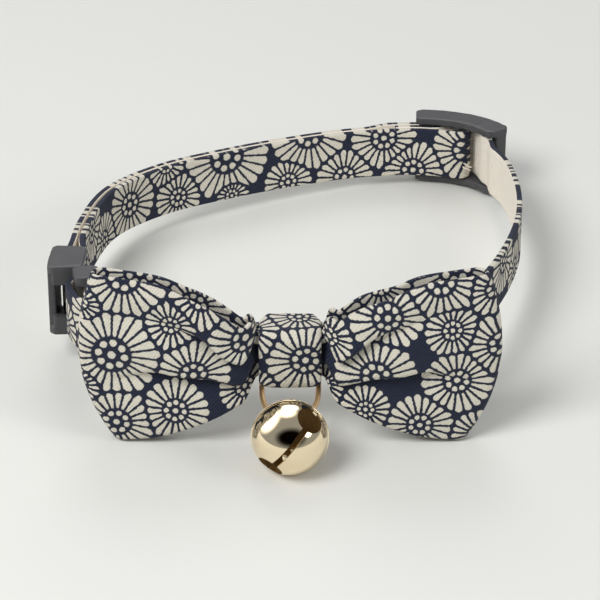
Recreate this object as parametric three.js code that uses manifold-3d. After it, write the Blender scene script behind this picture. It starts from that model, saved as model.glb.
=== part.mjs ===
// A pet's bow tie collar: a printed cloth strap with a slider and a breakaway buckle,
// and a folded bow, gathered by a knot band that also holds a small bell on a D-ring.
// Millimetres, +Z up. The bow faces -Y and +X is to the right of who looks at the bow.
// The collar is drawn flat, with the strap on edge round z = 0, and then laid down so
// that it stands on the bow's lower corners, the slider and the bell.

import * as THREE from 'three';
import { mergeVertices } from 'three/addons/utils/BufferGeometryUtils.js';
import Module from 'manifold-3d';

// Driving dimensions: the strap and its loop
const CLEARANCE = 0.3;
const STRAP_WIDTH = 9.2;
const STRAP_THICKNESS = 1.1;
const LOOP_WIDTH = 76;
const LOOP_DEPTH = 76;
const LOOP_ASIDE = 1.9;
const SLIDER_PLACE = 0.406;
const BUCKLE_PLACE = 0.797;
const SEWN_TAIL = 11;

// Driving dimensions: the slider and the buckle
const BAR_RADIUS = 0.8;
const PLATE_THICKNESS = 1.4;
const PLATE_SEAT = 0.4;
const PLATE_CUT = 0.8;
const SLIDER_LENGTH = 14.6;
const SLIDER_END_BAR = 1.5;
const SOCKET_LENGTH = 8.1;
const SOCKET_WALL = 1.3;
const SOCKET_BAR_OUT = 0.15;
const SOCKET_BAR_SET_BACK = 1;
const STOP_LENGTH = 1.2;
const STOP_SHARE = 0.62;
const PLUG_HEAD_LENGTH = 5.2;
const PLUG_HEAD_THICKNESS = 1.8;
const PLUG_BAR_OUT = -0.9;
const PLUG_ARM = 1;
const PLUG_HOOK = 2;

// Driving dimensions: the bow and its knot band
const BOW_CLOTH = 1;
const BOW_REACH = 33.2;
const BOW_HEIGHT = 29;
const BOW_OPENING = 2;
const FOLD_GAP = 0.2;
const KNOT_WIDTH = 10;
const KNOT_CLOTH = 1;
const STRAP_IN_KNOT = 8;
const PINCH_FRONT = 2.3;
const PINCH_BACK = 1.5;

// Driving dimensions: the D-ring and the bell
const RING_WIRE = 0.95;
const RING_WIDTH = 10;
const RING_LENGTH = 9;
const BELL_DIAMETER = 12;
const BELL_WALL = 0.5;
const BELL_SLIT = 1;
const BELL_HOLE = 4.4;
const BELL_CLAPPER = 3.6;
const SHANK_WIRE = 0.9;
const SHANK_HOLE = 2.6;
const BELL_NOD = THREE.MathUtils.degToRad(14);
const BELL_ROLL = THREE.MathUtils.degToRad(51);

// Plan of the strap's inner run, from the middle of the front round by the right:
// shares of half the loop's width, from its middle, and of the loop's depth. The loop's
// middle lies LOOP_ASIDE to the right of the bow's.
const LOOP_PLAN = [
  { across: -0.05, back: 0 },
  { across: 0.3, back: 0.004 },
  { across: 0.54, back: 0.055 },
  { across: 0.755, back: 0.185 },
  { across: 0.895, back: 0.345 },
  { across: 0.985, back: 0.53 },
  { across: 0.997, back: 0.7 },
  { across: 0.945, back: 0.855 },
  { across: 0.81, back: 0.962 },
  { across: 0.595, back: 1 },
  { across: 0.266, back: 0.985 },
  { across: -0.05, back: 0.932 },
  { across: -0.366, back: 0.86 },
  { across: -0.65, back: 0.775 },
  { across: -0.866, back: 0.655 },
  { across: -0.96, back: 0.49 },
  { across: -0.988, back: 0.33 },
  { across: -0.992, back: 0.18 },
  { across: -0.875, back: 0.055 },
  { across: -0.56, back: 0.002 },
];

// Folds of a bow panel from the knot (out 0) to the wing's end (out 1). Lengths are
// shares of the bow's height: low, middle and high are the three lobes that show, each
// tuck is how far a lobe hides under the next one, and each turn how far that fold is
// closed. Drop is how far the lower edge lies below the strap's middle, puff how far the
// front panel stands forward of the pinch, and spread how much farther apart the panels
// stand than at the wing's end.
const FOLD_COLUMNS = [
  'out', 'low', 'lowTuck', 'lowTurn', 'middle', 'highTuck', 'highTurn', 'high', 'drop', 'puff',
  'spread',
];
const BOW_FOLDS = [
  [0, 0.045, 0.012, 0.3, 0.045, 0.012, 0.3, 0.03, 0.11, 0, 0],
  [0.04, 0.08, 0.03, 0.75, 0.11, 0.03, 0.75, 0.1, 0.155, 0.055, 0.008],
  [0.08, 0.1, 0.075, 1, 0.13, 0.07, 1, 0.155, 0.22, 0.1, 0.022],
  [0.18, 0.17, 0.065, 1, 0.175, 0.035, 1, 0.172, 0.262, 0.125, 0.028],
  [0.32, 0.26, 0.045, 1, 0.218, 0.012, 0.6, 0.16, 0.314, 0.135, 0.018],
  [0.46, 0.312, 0.032, 0.85, 0.252, 0.01, 0.3, 0.14, 0.366, 0.135, 0.008],
  [0.62, 0.36, 0.015, 0.5, 0.29, 0.009, 0.1, 0.15, 0.414, 0.13, 0],
  [0.78, 0.375, 0.008, 0.2, 0.32, 0.008, 0, 0.195, 0.448, 0.12, 0],
  [1, 0.38, 0.006, 0, 0.33, 0.006, 0, 0.25, 0.466, 0.108, 0],
].map((row) => Object.fromEntries(row.map((value, column) => [FOLD_COLUMNS[column], value])));

// Where the wing reaches farthest, as a share of the cloth's height, and how much
// shorter its lower and upper corners are, as shares of its reach
const WING_WIDEST = 0.55;
const LOWER_CORNER = 0.16;
const UPPER_CORNER = 0.075;

// Sizes that follow from the driving dimensions
const halfStrap = STRAP_WIDTH / 2;
const layerPitch = STRAP_THICKNESS + CLEARANCE;
const wrapRadius = BAR_RADIUS + CLEARANCE + STRAP_THICKNESS / 2;
const plateBottom = halfStrap + CLEARANCE;
const plateTop = plateBottom + PLATE_THICKNESS;
const pinchFront = KNOT_CLOTH + CLEARANCE;
const pinchMiddle = pinchFront + PINCH_FRONT;
const strapFront = pinchMiddle + PINCH_BACK + 2 * CLEARANCE + STRAP_THICKNESS / 2;
const knotDepth = strapFront + STRAP_THICKNESS / 2 + CLEARANCE + KNOT_CLOTH;
const foldPitch = BOW_CLOTH + FOLD_GAP;
const knotHalf = STRAP_IN_KNOT / 2 + CLEARANCE + KNOT_CLOTH;
const bellRadius = BELL_DIAMETER / 2;

const wasm = await Module();
wasm.setup();

// Colours of the real pieces
const cloth = new THREE.MeshStandardMaterial({ color: '#2b3350', roughness: 0.85, metalness: 0 });
const plastic = new THREE.MeshStandardMaterial({ color: '#4a4b50', roughness: 0.6, metalness: 0 });
const gold = new THREE.MeshStandardMaterial({ color: '#e0cda4', roughness: 0.2, metalness: 1 });
const wireGold = new THREE.MeshStandardMaterial({ color: '#e3c996', roughness: 0.3, metalness: 1 });

// Helpers for solids
function toSolid(geometry) {
  const bare = geometry.clone();
  bare.deleteAttribute('normal');
  bare.deleteAttribute('uv');
  const merged = mergeVertices(bare, 1e-4);
  return new wasm.Manifold(new wasm.Mesh({
    numProp: 3,
    vertProperties: new Float32Array(merged.attributes.position.array),
    triVerts: new Uint32Array(merged.index.array),
  }));
}

function toGeometry(solid) {
  const mesh = solid.getMesh();
  const geometry = new THREE.BufferGeometry();
  geometry.setAttribute('position', new THREE.BufferAttribute(mesh.vertProperties, 3));
  geometry.setIndex(new THREE.BufferAttribute(mesh.triVerts, 1));
  return geometry;
}

function joined(geometries) {
  return geometries.map(toSolid).reduce((all, one) => all.add(one));
}

function named(name, geometry, material) {
  const mesh = new THREE.Mesh(geometry, material);
  mesh.name = name;
  return mesh;
}

// A skin over rings of points, each with the same number of points. A closed row of
// rings meets itself, and an open one is capped at both ends.
function skinned(rings, closed) {
  const count = rings[0].length;
  const corners = rings.flat().flatMap((point) => [point.x, point.y, point.z]);
  const faces = [];
  const last = closed ? rings.length : rings.length - 1;
  for (let row = 0; row < last; row += 1) {
    const near = row * count;
    const far = ((row + 1) % rings.length) * count;
    for (let side = 0; side < count; side += 1) {
      const next = (side + 1) % count;
      faces.push(near + side, near + next, far + next);
      faces.push(near + side, far + next, far + side);
    }
  }
  if (!closed) {
    const end = (rings.length - 1) * count;
    for (let side = 1; side < count - 1; side += 1) {
      faces.push(0, side + 1, side);
      faces.push(end, end + side, end + side + 1);
    }
  }
  const geometry = new THREE.BufferGeometry();
  geometry.setAttribute('position', new THREE.Float32BufferAttribute(corners, 3));
  geometry.setIndex(volumeOf(corners, faces) > 0 ? faces : faces.reverse());
  return geometry;
}

// The volume that faces close in, below zero where they point inward
function volumeOf(corners, faces) {
  const corner = (index) => new THREE.Vector3().fromArray(corners, 3 * faces[index]);
  let volume = 0;
  for (let face = 0; face < faces.length; face += 3) {
    volume += corner(face).dot(corner(face + 1).cross(corner(face + 2))) / 6;
  }
  return volume;
}

// A value read from a table, on the straight line between two of its rows
function between(rows, key, place, value) {
  let row = 0;
  while (row < rows.length - 2 && place > rows[row + 1][key]) row += 1;
  const low = rows[row];
  const high = rows[row + 1];
  const share = THREE.MathUtils.clamp((place - low[key]) / (high[key] - low[key]), 0, 1);
  return THREE.MathUtils.lerp(low[value], high[value], share);
}

// The loop: every place on the strap is an arc length round it and an offset outward
const loop = new THREE.CatmullRomCurve3(LOOP_PLAN.map((row) => new THREE.Vector3(
  LOOP_ASIDE + row.across * LOOP_WIDTH / 2,
  strapFront + row.back * LOOP_DEPTH,
  0,
)), true, 'centripetal');
loop.arcLengthDivisions = 600;
const loopLength = loop.getLength();

function onLoop(arc, out) {
  const share = THREE.MathUtils.euclideanModulo(arc / loopLength, 1);
  const point = loop.getPointAt(share);
  const along = loop.getTangentAt(share);
  return new THREE.Vector2(point.x + out * along.y, point.y - out * along.x);
}

// An upright prism over an outline given as places on the loop
function loopPrism(outline, bottom, top) {
  const longest = 1.6;
  const points = [];
  outline.forEach(([arc, out], corner) => {
    const [nextArc, nextOut] = outline[(corner + 1) % outline.length];
    const steps = Math.max(1, Math.ceil(Math.abs(nextArc - arc) / longest));
    for (let step = 0; step < steps; step += 1) {
      const share = step / steps;
      points.push(onLoop(arc + (nextArc - arc) * share, out + (nextOut - out) * share));
    }
  });
  const geometry = new THREE.ExtrudeGeometry(new THREE.Shape(points), {
    depth: top - bottom,
    bevelEnabled: false,
  });
  return geometry.translate(0, 0, bottom);
}

function loopBlock(arcFrom, arcTo, outFrom, outTo, bottom, top) {
  const outline = [[arcFrom, outFrom], [arcTo, outFrom], [arcTo, outTo], [arcFrom, outTo]];
  return loopPrism(outline, bottom, top);
}

// The same block with its four upright edges cut off
function loopPlate(arcFrom, arcTo, outFrom, outTo, cut, bottom, top) {
  return loopPrism([
    [arcFrom + cut, outFrom], [arcTo - cut, outFrom], [arcTo, outFrom + cut], [arcTo, outTo - cut],
    [arcTo - cut, outTo], [arcFrom + cut, outTo], [arcFrom, outTo - cut], [arcFrom, outFrom + cut],
  ], bottom, top);
}

function loopBar(arc, out, bottom, top) {
  const sides = 12;
  const outline = [];
  for (let side = 0; side < sides; side += 1) {
    const angle = 2 * Math.PI * side / sides;
    outline.push([arc + BAR_RADIUS * Math.cos(angle), out + BAR_RADIUS * Math.sin(angle)]);
  }
  return loopPrism(outline, bottom, top);
}

// Places of the bars that the strap goes round, and what follows from them
const sliderArc = SLIDER_PLACE * loopLength;
const sliderBarOut = wrapRadius;
const sliderHalf = SLIDER_LENGTH / 2;
const overBar = sliderBarOut + wrapRadius + layerPitch;
const overTail = 2 * layerPitch;
const sliderOuter = overBar + STRAP_THICKNESS / 2 + CLEARANCE;
const rightBarInner = 0.45 * sliderOuter;
const underRightBar = rightBarInner - CLEARANCE - STRAP_THICKNESS / 2;
const leftBarInner = overTail + STRAP_THICKNESS / 2 + CLEARANCE;

const socketArc = BUCKLE_PLACE * loopLength;
const stopHeight = STOP_SHARE * halfStrap;
const socketRear = socketArc - BAR_RADIUS - SOCKET_BAR_SET_BACK;
const socketFront = socketRear + SOCKET_LENGTH;
const socketWallInner = SOCKET_BAR_OUT + wrapRadius + STRAP_THICKNESS / 2 + CLEARANCE;
const socketOuter = socketWallInner + SOCKET_WALL;
const socketInner = SOCKET_BAR_OUT - wrapRadius - STRAP_THICKNESS / 2;

const plugArc = socketFront + CLEARANCE + wrapRadius + STRAP_THICKNESS / 2;
const plugTailOut = PLUG_BAR_OUT - wrapRadius;
const plugArmOuter = plugTailOut - STRAP_THICKNESS / 2 - CLEARANCE;

// The strap's middle line, as places on the loop
function strapRun() {
  const run = [];
  const step = 3;
  const fine = 1;
  // One stretch: rows of arc and out, eased between rows
  const stretch = (rows) => {
    for (let row = 0; row < rows.length - 1; row += 1) {
      const [from, to] = [rows[row], rows[row + 1]];
      const size = Math.abs(to.out - from.out) > 0.01 ? fine : step;
      const steps = Math.max(1, Math.round(Math.abs(to.arc - from.arc) / size));
      for (let count = 0; count < steps; count += 1) {
        const share = count / steps;
        const eased = share * share * (3 - 2 * share);
        run.push([from.arc + (to.arc - from.arc) * share, from.out + (to.out - from.out) * eased]);
      }
    }
  };
  // Half a turn round a bar, from its outer or inner side
  const turn = (arc, out, from, toward) => {
    const steps = 7;
    for (let count = 0; count <= steps; count += 1) {
      const angle = Math.PI * count / steps;
      run.push([
        arc + toward * wrapRadius * Math.sin(angle),
        out + from * wrapRadius * Math.cos(angle),
      ]);
    }
  };
  // Sewn end, then round the plug's bar and on to the front
  stretch([
    { arc: plugArc + SEWN_TAIL * 0.6, out: plugTailOut + 0.3 },
    { arc: plugArc, out: plugTailOut },
  ]);
  turn(plugArc, PLUG_BAR_OUT, -1, -1);
  // By the front and the right side to the slider, over its middle bar, and along the
  // rear as the outer layer to the socket
  const lap = loopLength;
  stretch([
    { arc: plugArc + 0.5, out: PLUG_BAR_OUT + wrapRadius },
    { arc: plugArc + 12, out: 0 },
    { arc: lap + sliderArc - sliderHalf - 3, out: 0 },
    { arc: lap + sliderArc - sliderHalf + SLIDER_END_BAR, out: underRightBar },
    { arc: lap + sliderArc - 0.6, out: overBar },
    { arc: lap + sliderArc + 0.3, out: overBar },
    { arc: lap + sliderArc + sliderHalf - SLIDER_END_BAR - 1, out: overTail },
    { arc: lap + sliderArc + SEWN_TAIL + 0.5, out: overTail },
    { arc: lap + sliderArc + SEWN_TAIL + 6, out: layerPitch },
    { arc: lap + socketArc - 9, out: layerPitch },
    { arc: lap + socketArc - 0.5, out: SOCKET_BAR_OUT + wrapRadius },
  ]);
  turn(lap + socketArc, SOCKET_BAR_OUT, 1, 1);
  // Back along the rear as the inner layer, round the slider's middle bar to the sewn end
  stretch([
    { arc: lap + socketArc - 0.5, out: SOCKET_BAR_OUT - wrapRadius },
    { arc: lap + socketArc - 9, out: 0 },
    { arc: lap + sliderArc + 0.5, out: 0 },
  ]);
  turn(lap + sliderArc, sliderBarOut, -1, -1);
  stretch([
    { arc: lap + sliderArc + 0.4, out: sliderBarOut + wrapRadius },
    { arc: lap + sliderArc + sliderHalf - SLIDER_END_BAR - 1, out: layerPitch },
    { arc: lap + sliderArc + SEWN_TAIL, out: layerPitch },
  ]);
  return run.map(([arc, out]) => onLoop(arc, out));
}

function strapGeometry() {
  const line = strapRun();
  const half = STRAP_THICKNESS / 2;
  const rings = line.map((point, index) => {
    const before = line[Math.max(0, index - 1)];
    const after = line[Math.min(line.length - 1, index + 1)];
    const side = after.clone().sub(before).normalize();
    side.set(side.y, -side.x).multiplyScalar(half);
    const outer = point.clone().add(side);
    const inner = point.clone().sub(side);
    const besideKnot = Math.abs(point.x) / (KNOT_WIDTH / 2);
    const wide = point.y > LOOP_DEPTH / 2 ? 1 : THREE.MathUtils.smoothstep(besideKnot, 1.3, 2.6);
    const high = THREE.MathUtils.lerp(STRAP_IN_KNOT / 2, halfStrap, wide);
    return [
      new THREE.Vector3(outer.x, outer.y, -high),
      new THREE.Vector3(outer.x, outer.y, high),
      new THREE.Vector3(inner.x, inner.y, high),
      new THREE.Vector3(inner.x, inner.y, -high),
    ];
  });
  return skinned(rings, false);
}

// The slider: two rails above and below the strap, tied by three upright bars
function sliderGeometry() {
  const from = sliderArc - sliderHalf;
  const to = sliderArc + sliderHalf;
  const inner = CLEARANCE + STRAP_THICKNESS / 2;
  const seat = plateBottom + PLATE_SEAT;
  return toGeometry(joined([
    loopPlate(from, to, inner, sliderOuter, PLATE_CUT, plateBottom, plateTop),
    loopPlate(from, to, inner, sliderOuter, PLATE_CUT, -plateTop, -plateBottom),
    loopBlock(from, from + SLIDER_END_BAR, rightBarInner, sliderOuter - PLATE_CUT, -seat, seat),
    loopBlock(to - SLIDER_END_BAR, to, leftBarInner, sliderOuter - PLATE_CUT, -seat, seat),
    loopBar(sliderArc, sliderBarOut, -seat, seat),
  ]));
}

// The socket: a channel with an outer wall, the bar that the strap turns round, and
// stops above and below that hold the plug's hook
function socketGeometry() {
  const seat = plateBottom + PLATE_SEAT;
  const stopRear = socketFront - STOP_LENGTH;
  const stopInner = socketInner + PLATE_CUT;
  const stopOuter = socketOuter - PLATE_CUT;
  return toGeometry(joined([
    loopPlate(socketRear, socketFront, socketInner, socketOuter, PLATE_CUT, plateBottom, plateTop),
    loopPlate(socketRear, socketFront, socketInner, socketOuter, PLATE_CUT, -plateTop, -plateBottom),
    loopBlock(socketRear + PLATE_CUT, socketFront - PLATE_CUT, socketWallInner, socketOuter, -seat, seat),
    loopBar(socketArc, SOCKET_BAR_OUT, -seat, seat),
    loopBlock(stopRear, socketFront, stopInner, stopOuter, stopHeight, seat),
    loopBlock(stopRear, socketFront, stopInner, stopOuter, -seat, -stopHeight),
  ]));
}

// The plug: a bar for the strap's sewn end between a head and a foot, and an arm whose
// hook reaches into the socket
function plugGeometry() {
  const seat = plateBottom + PLATE_SEAT;
  const headRear = socketFront + CLEARANCE;
  const headFront = headRear + PLUG_HEAD_LENGTH;
  const headTop = plateBottom + PLUG_HEAD_THICKNESS;
  const outer = PLUG_BAR_OUT + BAR_RADIUS;
  const inner = plugArmOuter - PLUG_ARM;
  const footFrom = plugArc - 1.5 * BAR_RADIUS;
  const footTo = plugArc + 1.5 * BAR_RADIUS;
  const armHalf = stopHeight - CLEARANCE;
  const hookHalf = halfStrap - CLEARANCE;
  const hookFront = socketFront - STOP_LENGTH - CLEARANCE;
  const hookRear = hookFront - PLUG_HOOK;
  const hookOuter = SOCKET_BAR_OUT + BAR_RADIUS;
  return toGeometry(joined([
    loopPlate(headRear, headFront, inner, outer, PLATE_CUT, plateBottom, headTop),
    loopPlate(footFrom, footTo, inner, outer, PLATE_CUT / 2, -plateTop, -plateBottom),
    loopBar(plugArc, PLUG_BAR_OUT, -seat, seat),
    loopBlock(footFrom, footTo, inner, plugArmOuter, -seat, seat),
    loopBlock(hookRear, plugArc, inner, plugArmOuter, -armHalf, armHalf),
    loopBlock(hookRear, hookFront, inner, hookOuter, -hookHalf, hookHalf),
  ]));
}

// One upright section of a bow panel at a place out from the knot: the middle line of
// the cloth from its lower to its upper edge, as forward, up and share of the cloth.
// Each fold turns forward and down, then up again, and the whole section is then turned
// until its upper edge stands over its lower one.
function panelSection(out) {
  const read = (column) => between(BOW_FOLDS, 'out', out, column);
  const size = (column) => read(column) * BOW_HEIGHT;
  const radius = foldPitch / 2;
  const points = [{ forward: 0, up: 0, arc: 0 }];
  let heading = 0;
  const walk = (length, count, turn) => {
    for (let step = 0; step < count; step += 1) {
      const last = points[points.length - 1];
      heading += turn / count / 2;
      points.push({
        forward: last.forward - Math.sin(heading) * length / count,
        up: last.up + Math.cos(heading) * length / count,
        arc: last.arc + length / count,
      });
      heading += turn / count / 2;
    }
  };
  const fold = (tuck, closed) => {
    const openShare = 0.15;
    const corner = Math.PI * radius * (openShare + (1 - openShare) * closed);
    const turn = -Math.PI * closed;
    walk(corner, 4, turn);
    walk(tuck, 1, 0);
    walk(corner, 4, -turn);
  };
  const lowHidden = read('lowTurn') * (size('lowTuck') + radius);
  const highHidden = read('highTurn') * (size('highTuck') + radius);
  walk(size('low') + lowHidden, 3, 0);
  fold(size('lowTuck'), read('lowTurn'));
  walk(size('middle') + highHidden - read('lowTurn') * radius, 3, 0);
  fold(size('highTuck'), read('highTurn'));
  walk(size('high') - read('highTurn') * radius, 3, 0);
  const end = points[points.length - 1];
  const lean = Math.atan2(end.forward, end.up);
  const upright = points.map((point) => ({
    forward: point.forward * Math.cos(lean) - point.up * Math.sin(lean),
    up: point.up * Math.cos(lean) + point.forward * Math.sin(lean) - size('drop'),
    share: point.arc / end.arc,
  }));
  const fronts = upright.map((point) => point.forward);
  const middle = (Math.max(...fronts) + Math.min(...fronts)) / 2;
  return upright.map((point) => ({ ...point, forward: point.forward - middle }));
}

// How far a wing reaches at a height of the cloth, from 0 below to 1 above
function wingReach(height) {
  const below = height < WING_WIDEST;
  const away = (height - WING_WIDEST) / (below ? WING_WIDEST : 1 - WING_WIDEST);
  return BOW_REACH * (1 - (below ? LOWER_CORNER : UPPER_CORNER) * away * away);
}

// The bow: one band of cloth, flattened to a front and a back panel that join in a fold
// at each wing's end. Each station is a thin closed section, and the stations go round.
function bowGeometry() {
  const pinchHalf = KNOT_WIDTH / 2 + 0.4;
  const outs = [0, 0.04, 0.08, 0.13, 0.2, 0.28, 0.38, 0.5, 0.64, 0.8, 1];
  const frontMiddle = pinchFront + PINCH_FRONT / 2;
  const backMiddle = pinchMiddle + CLEARANCE + PINCH_BACK / 2;
  const endRadius = (BOW_OPENING + BOW_CLOTH) / 2;
  const panelPoint = (out, point, face) => {
    const reach = wingReach(point.share) - endRadius;
    const puff = between(BOW_FOLDS, 'out', out, 'puff') * BOW_HEIGHT;
    const spread = between(BOW_FOLDS, 'out', out, 'spread') * BOW_HEIGHT;
    const opened = THREE.MathUtils.smoothstep(out, 0, 0.08);
    const apart = THREE.MathUtils.lerp(backMiddle - frontMiddle, 2 * endRadius, opened);
    const front = frontMiddle - puff;
    const back = front + apart + spread;
    const flat = face > 0 ? 1 : 0.42;
    return new THREE.Vector3(
      THREE.MathUtils.lerp(pinchHalf, reach, out),
      (face > 0 ? front : back) - face * point.forward * flat,
      point.up,
    );
  };
  const stations = [];
  const addPanel = (side, face, places) => places.forEach((out) => {
    const line = panelSection(out).map((point) => panelPoint(out, point, face));
    line.forEach((point) => point.setX(side * point.x));
    stations.push({ line, along: side * face });
  });
  const addEnd = (side, faces) => {
    const flat = panelSection(1);
    [-45, 0, 45].forEach((degrees) => {
      const angle = THREE.MathUtils.degToRad(degrees) * faces;
      const line = flat.map((point) => {
        const front = panelPoint(1, point, 1);
        return new THREE.Vector3(
          side * (front.x + endRadius * Math.cos(angle)),
          front.y + endRadius * (1 + Math.sin(angle)),
          front.z,
        );
      });
      stations.push({ line });
    });
  };
  const inward = [...outs].reverse();
  addPanel(1, 1, [...outs]);
  addEnd(1, 1);
  addPanel(1, -1, inward);
  addPanel(-1, -1, [...outs]);
  addEnd(-1, -1);
  addPanel(-1, 1, inward);
  return skinned(bandSections(stations.map((station) => station.line), BOW_CLOTH), true);
}

// Closed thin sections over a grid of middle points whose rows go round in a loop: each
// point moves half the cloth's thickness out and in along the grid's own normal
function bandSections(lines, thickness) {
  const normalAt = (row, spot) => {
    const line = lines[row];
    const before = lines[(row + lines.length - 1) % lines.length][spot];
    const after = lines[(row + 1) % lines.length][spot];
    const low = line[Math.max(0, spot - 1)];
    const high = line[Math.min(line.length - 1, spot + 1)];
    const along = after.clone().sub(before);
    return along.cross(high.clone().sub(low)).normalize();
  };
  return lines.map((line, row) => {
    const outer = [];
    const inner = [];
    line.forEach((point, spot) => {
      const normal = normalAt(row, spot).multiplyScalar(thickness / 2);
      outer.push(point.clone().add(normal));
      inner.push(point.clone().sub(normal));
    });
    return [...outer, ...inner.reverse()];
  });
}

// The knot band: a loop of cloth round the pinch and the strap, full width in front and
// drawn in below and behind, where the D-ring goes round it
function knotGeometry() {
  const drawnIn = RING_WIDTH / 2 - RING_WIRE - CLEARANCE;
  const half = KNOT_CLOTH / 2;
  const top = knotHalf - half;
  const front = half;
  const back = knotDepth - half;
  const soft = 1.6;
  const tight = half + CLEARANCE;
  const path = [];
  const cornerAt = (y, z, radius, from) => {
    for (let step = 0; step <= 4; step += 1) {
      const angle = THREE.MathUtils.degToRad(from + step * 22.5);
      path.push(new THREE.Vector2(y + radius * Math.cos(angle), z + radius * Math.sin(angle)));
    }
  };
  cornerAt(back - tight, top - tight, tight, 0);
  cornerAt(front + soft, top - soft, soft, 90);
  cornerAt(front + soft, soft - top, soft, 180);
  cornerAt(back - tight, tight - top, tight, 270);
  const widthAt = (place) => {
    const behind = THREE.MathUtils.smoothstep(place.x, front, front + soft / 2);
    const below = THREE.MathUtils.smoothstep(-place.y, 0, top - soft);
    const share = Math.max(behind * below, THREE.MathUtils.smoothstep(place.x, back - 3, back));
    return THREE.MathUtils.lerp(KNOT_WIDTH / 2, drawnIn, share);
  };
  const rings = path.map((place, index) => {
    const before = path[(index + path.length - 1) % path.length];
    const after = path[(index + 1) % path.length];
    const side = after.clone().sub(before).normalize();
    side.set(side.y, -side.x).multiplyScalar(half);
    const wide = widthAt(place);
    const corner = (x, sign) => new THREE.Vector3(x, place.x + sign * side.x, place.y + sign * side.y);
    return [corner(-wide, 1), corner(-wide, -1), corner(wide, -1), corner(wide, 1)];
  });
  return skinned(rings, true);
}

// A closed wire loop through points that lie in one plane with the given normal
function wireLoop(points, normal, radius, sides) {
  const rings = points.map((point, index) => {
    const before = points[(index + points.length - 1) % points.length];
    const after = points[(index + 1) % points.length];
    const outward = after.clone().sub(before).cross(normal).normalize();
    const ring = [];
    for (let side = 0; side < sides; side += 1) {
      const angle = 2 * Math.PI * side / sides;
      ring.push(point.clone()
        .addScaledVector(outward, radius * Math.cos(angle))
        .addScaledVector(normal, radius * Math.sin(angle)));
    }
    return ring;
  });
  return skinned(rings, true);
}

// The D-ring in its own frame: its bar along X through the origin, hanging toward -Y
function ringGeometry() {
  const half = (RING_WIDTH - RING_WIRE) / 2;
  const corner = 1;
  const bottom = RING_LENGTH - RING_WIRE;
  const points = [];
  const arc = (x, y, radius, from, to, steps) => {
    for (let step = 0; step <= steps; step += 1) {
      const angle = THREE.MathUtils.degToRad(from + (to - from) * step / steps);
      points.push(new THREE.Vector3(x + radius * Math.cos(angle), y + radius * Math.sin(angle), 0));
    }
  };
  arc(half - corner, -corner, corner, 90, 0, 3);
  arc(0, half - bottom, half, 0, -180, 12);
  arc(corner - half, -corner, corner, 180, 90, 3);
  return wireLoop(points, new THREE.Vector3(0, 0, 1), RING_WIRE / 2, 8);
}

// The bell in its own frame: the slit's pole toward +Z, the shank toward -Z with its
// hole along X
const shankRadius = (SHANK_HOLE + SHANK_WIRE) / 2;
const shankCentre = bellRadius + shankRadius - SHANK_WIRE;
function bellGeometry() {
  const inside = bellRadius - BELL_WALL;
  const shell = toSolid(new THREE.SphereGeometry(bellRadius, 26, 16));
  const hollow = toSolid(new THREE.SphereGeometry(inside, 16, 10));
  const torus = new THREE.TorusGeometry(shankRadius, SHANK_WIRE / 2, 6, 16);
  const shank = toSolid(torus.rotateY(Math.PI / 2).translate(0, 0, -shankCentre));
  const slitHalf = bellRadius * Math.sin(THREE.MathUtils.degToRad(42));
  const slit = new THREE.BoxGeometry(2 * slitHalf, BELL_SLIT, bellRadius * 1.2);
  slit.translate(0, 0, bellRadius * 0.6);
  const cutters = [slit];
  [-60, 60].forEach((degrees) => {
    const hole = new THREE.CylinderGeometry(BELL_HOLE / 2, BELL_HOLE / 2, bellRadius, 16);
    hole.rotateX(Math.PI / 2).translate(0, 0, bellRadius * 0.9);
    cutters.push(hole.rotateY(THREE.MathUtils.degToRad(degrees)));
  });
  cutters.forEach((cutter) => cutter.rotateZ(BELL_ROLL));
  const openings = joined(cutters);
  return toGeometry(shell.add(shank).subtract(hollow).subtract(openings));
}

// The collar, drawn flat and then tilted back until it stands on the bow and the slider
const collar = new THREE.Group();
collar.add(
  named('strap', strapGeometry(), cloth),
  named('bow', bowGeometry(), cloth),
  named('knot_band', knotGeometry(), cloth),
  named('slider', sliderGeometry(), plastic),
  named('buckle_socket', socketGeometry(), plastic),
  named('buckle_plug', plugGeometry(), plastic),
);

function reach(group, name, direction) {
  const position = group.getObjectByName(name).geometry.attributes.position;
  let best = new THREE.Vector3(0, 0, 0);
  let most = -Infinity;
  for (let index = 0; index < position.count; index += 1) {
    const corner = new THREE.Vector3().fromBufferAttribute(position, index);
    if (corner.dot(direction) > most) {
      most = corner.dot(direction);
      best = corner;
    }
  }
  return best;
}
const downward = new THREE.Vector3(0, 0.1, -1);
const bowFoot = reach(collar, 'bow', downward);
const sliderFoot = reach(collar, 'slider', downward);
const tilt = Math.atan2(sliderFoot.z - bowFoot.z, sliderFoot.y - bowFoot.y);
collar.rotation.x = -tilt;
collar.position.z = bowFoot.y * Math.sin(tilt) - bowFoot.z * Math.cos(tilt);
collar.updateMatrixWorld(true);

// The D-ring hangs from the knot band's lower fold, and the bell lies on its end. The
// bell's place follows from its radius, the ring's length and the bar's height.
const barHeight = KNOT_CLOTH + CLEARANCE + RING_WIRE / 2 - knotHalf;
const barDepth = strapFront - STRAP_THICKNESS / 2 - 2 * CLEARANCE - 1.5 * RING_WIRE;
const barPlace = new THREE.Vector3(0, barDepth, barHeight).applyMatrix4(collar.matrixWorld);
const shankReach = bellRadius + RING_WIRE / 2 + 0.6;
const shankPlace = new THREE.Vector3(
  0,
  shankReach * Math.cos(BELL_NOD),
  bellRadius - shankReach * Math.sin(BELL_NOD),
);
const fall = barPlace.z - shankPlace.z;
const ringRun = Math.sqrt((RING_LENGTH - RING_WIRE) ** 2 - fall ** 2);
const bellY = barPlace.y - ringRun - shankPlace.y;

const ring = named('d_ring', ringGeometry(), wireGold);
ring.position.copy(barPlace);
ring.rotation.x = Math.atan2(fall, ringRun);

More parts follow.
